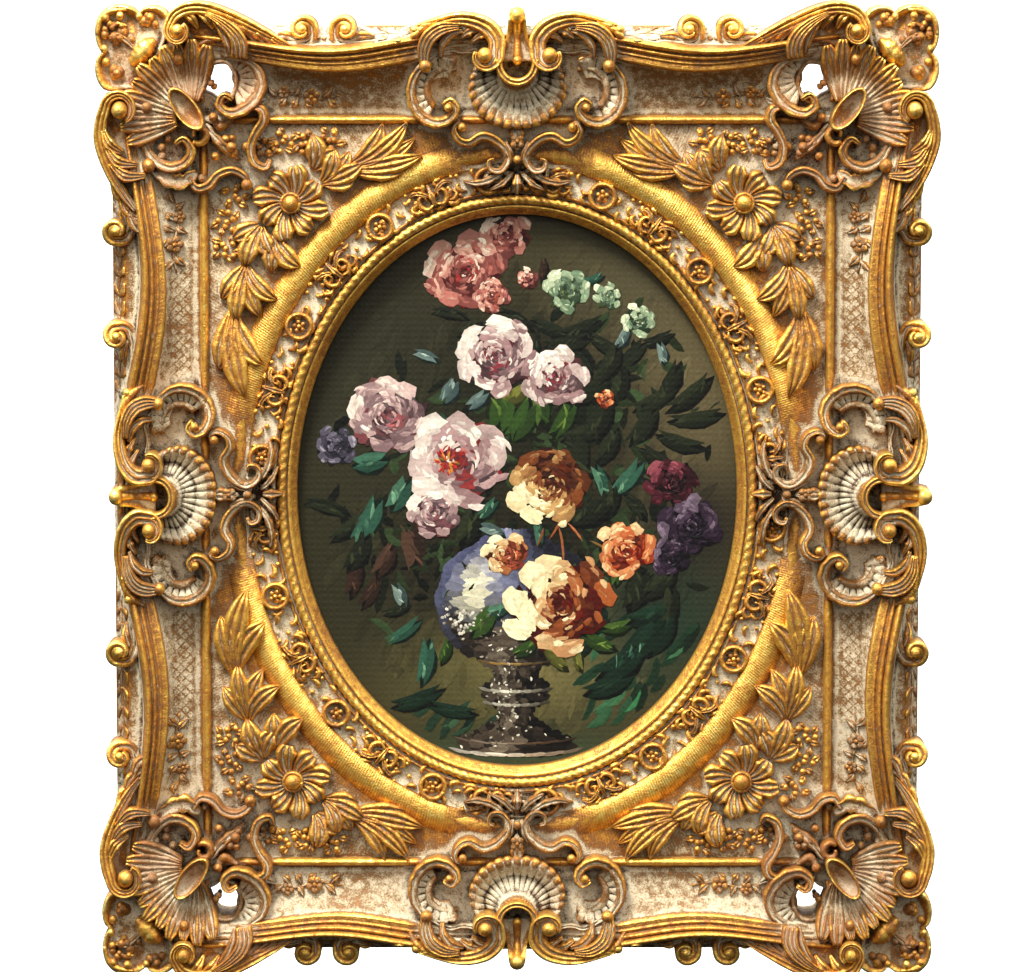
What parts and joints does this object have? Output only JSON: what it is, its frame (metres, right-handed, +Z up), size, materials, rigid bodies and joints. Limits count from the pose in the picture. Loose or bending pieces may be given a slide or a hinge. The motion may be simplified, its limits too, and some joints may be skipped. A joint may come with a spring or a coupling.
{
  "type": "framed oil painting",
  "caption": "Still life of flowers in an urn, oil on stretched linen, in a carved gilt frame with an oval sight, made to hang on a wall.",
  "frame": {"origin": "the point of the frame's flat back in the middle of the top rail, where it hangs against the wall", "axes": "+Z up, the picture faces -Y, +X to the viewer's right, the flat back lies on Y = 0"},
  "size_m": [0.7824, 0.09, 0.9],
  "materials": {
    "gilding": "aged gold leaf over carved wood and gesso, pale wash and brown patina in the hollows",
    "linen": "oil paint on primed linen, bare linen behind",
    "stretcher_wood": "planed bare pine"
  },
  "bodies": {
    "root": {"frame": "gilding", "canvas": "linen", "stretcher_top": "stretcher_wood", "stretcher_bottom": "stretcher_wood", "stretcher_left": "stretcher_wood", "stretcher_right": "stretcher_wood"}
  },
  "joints": []
}
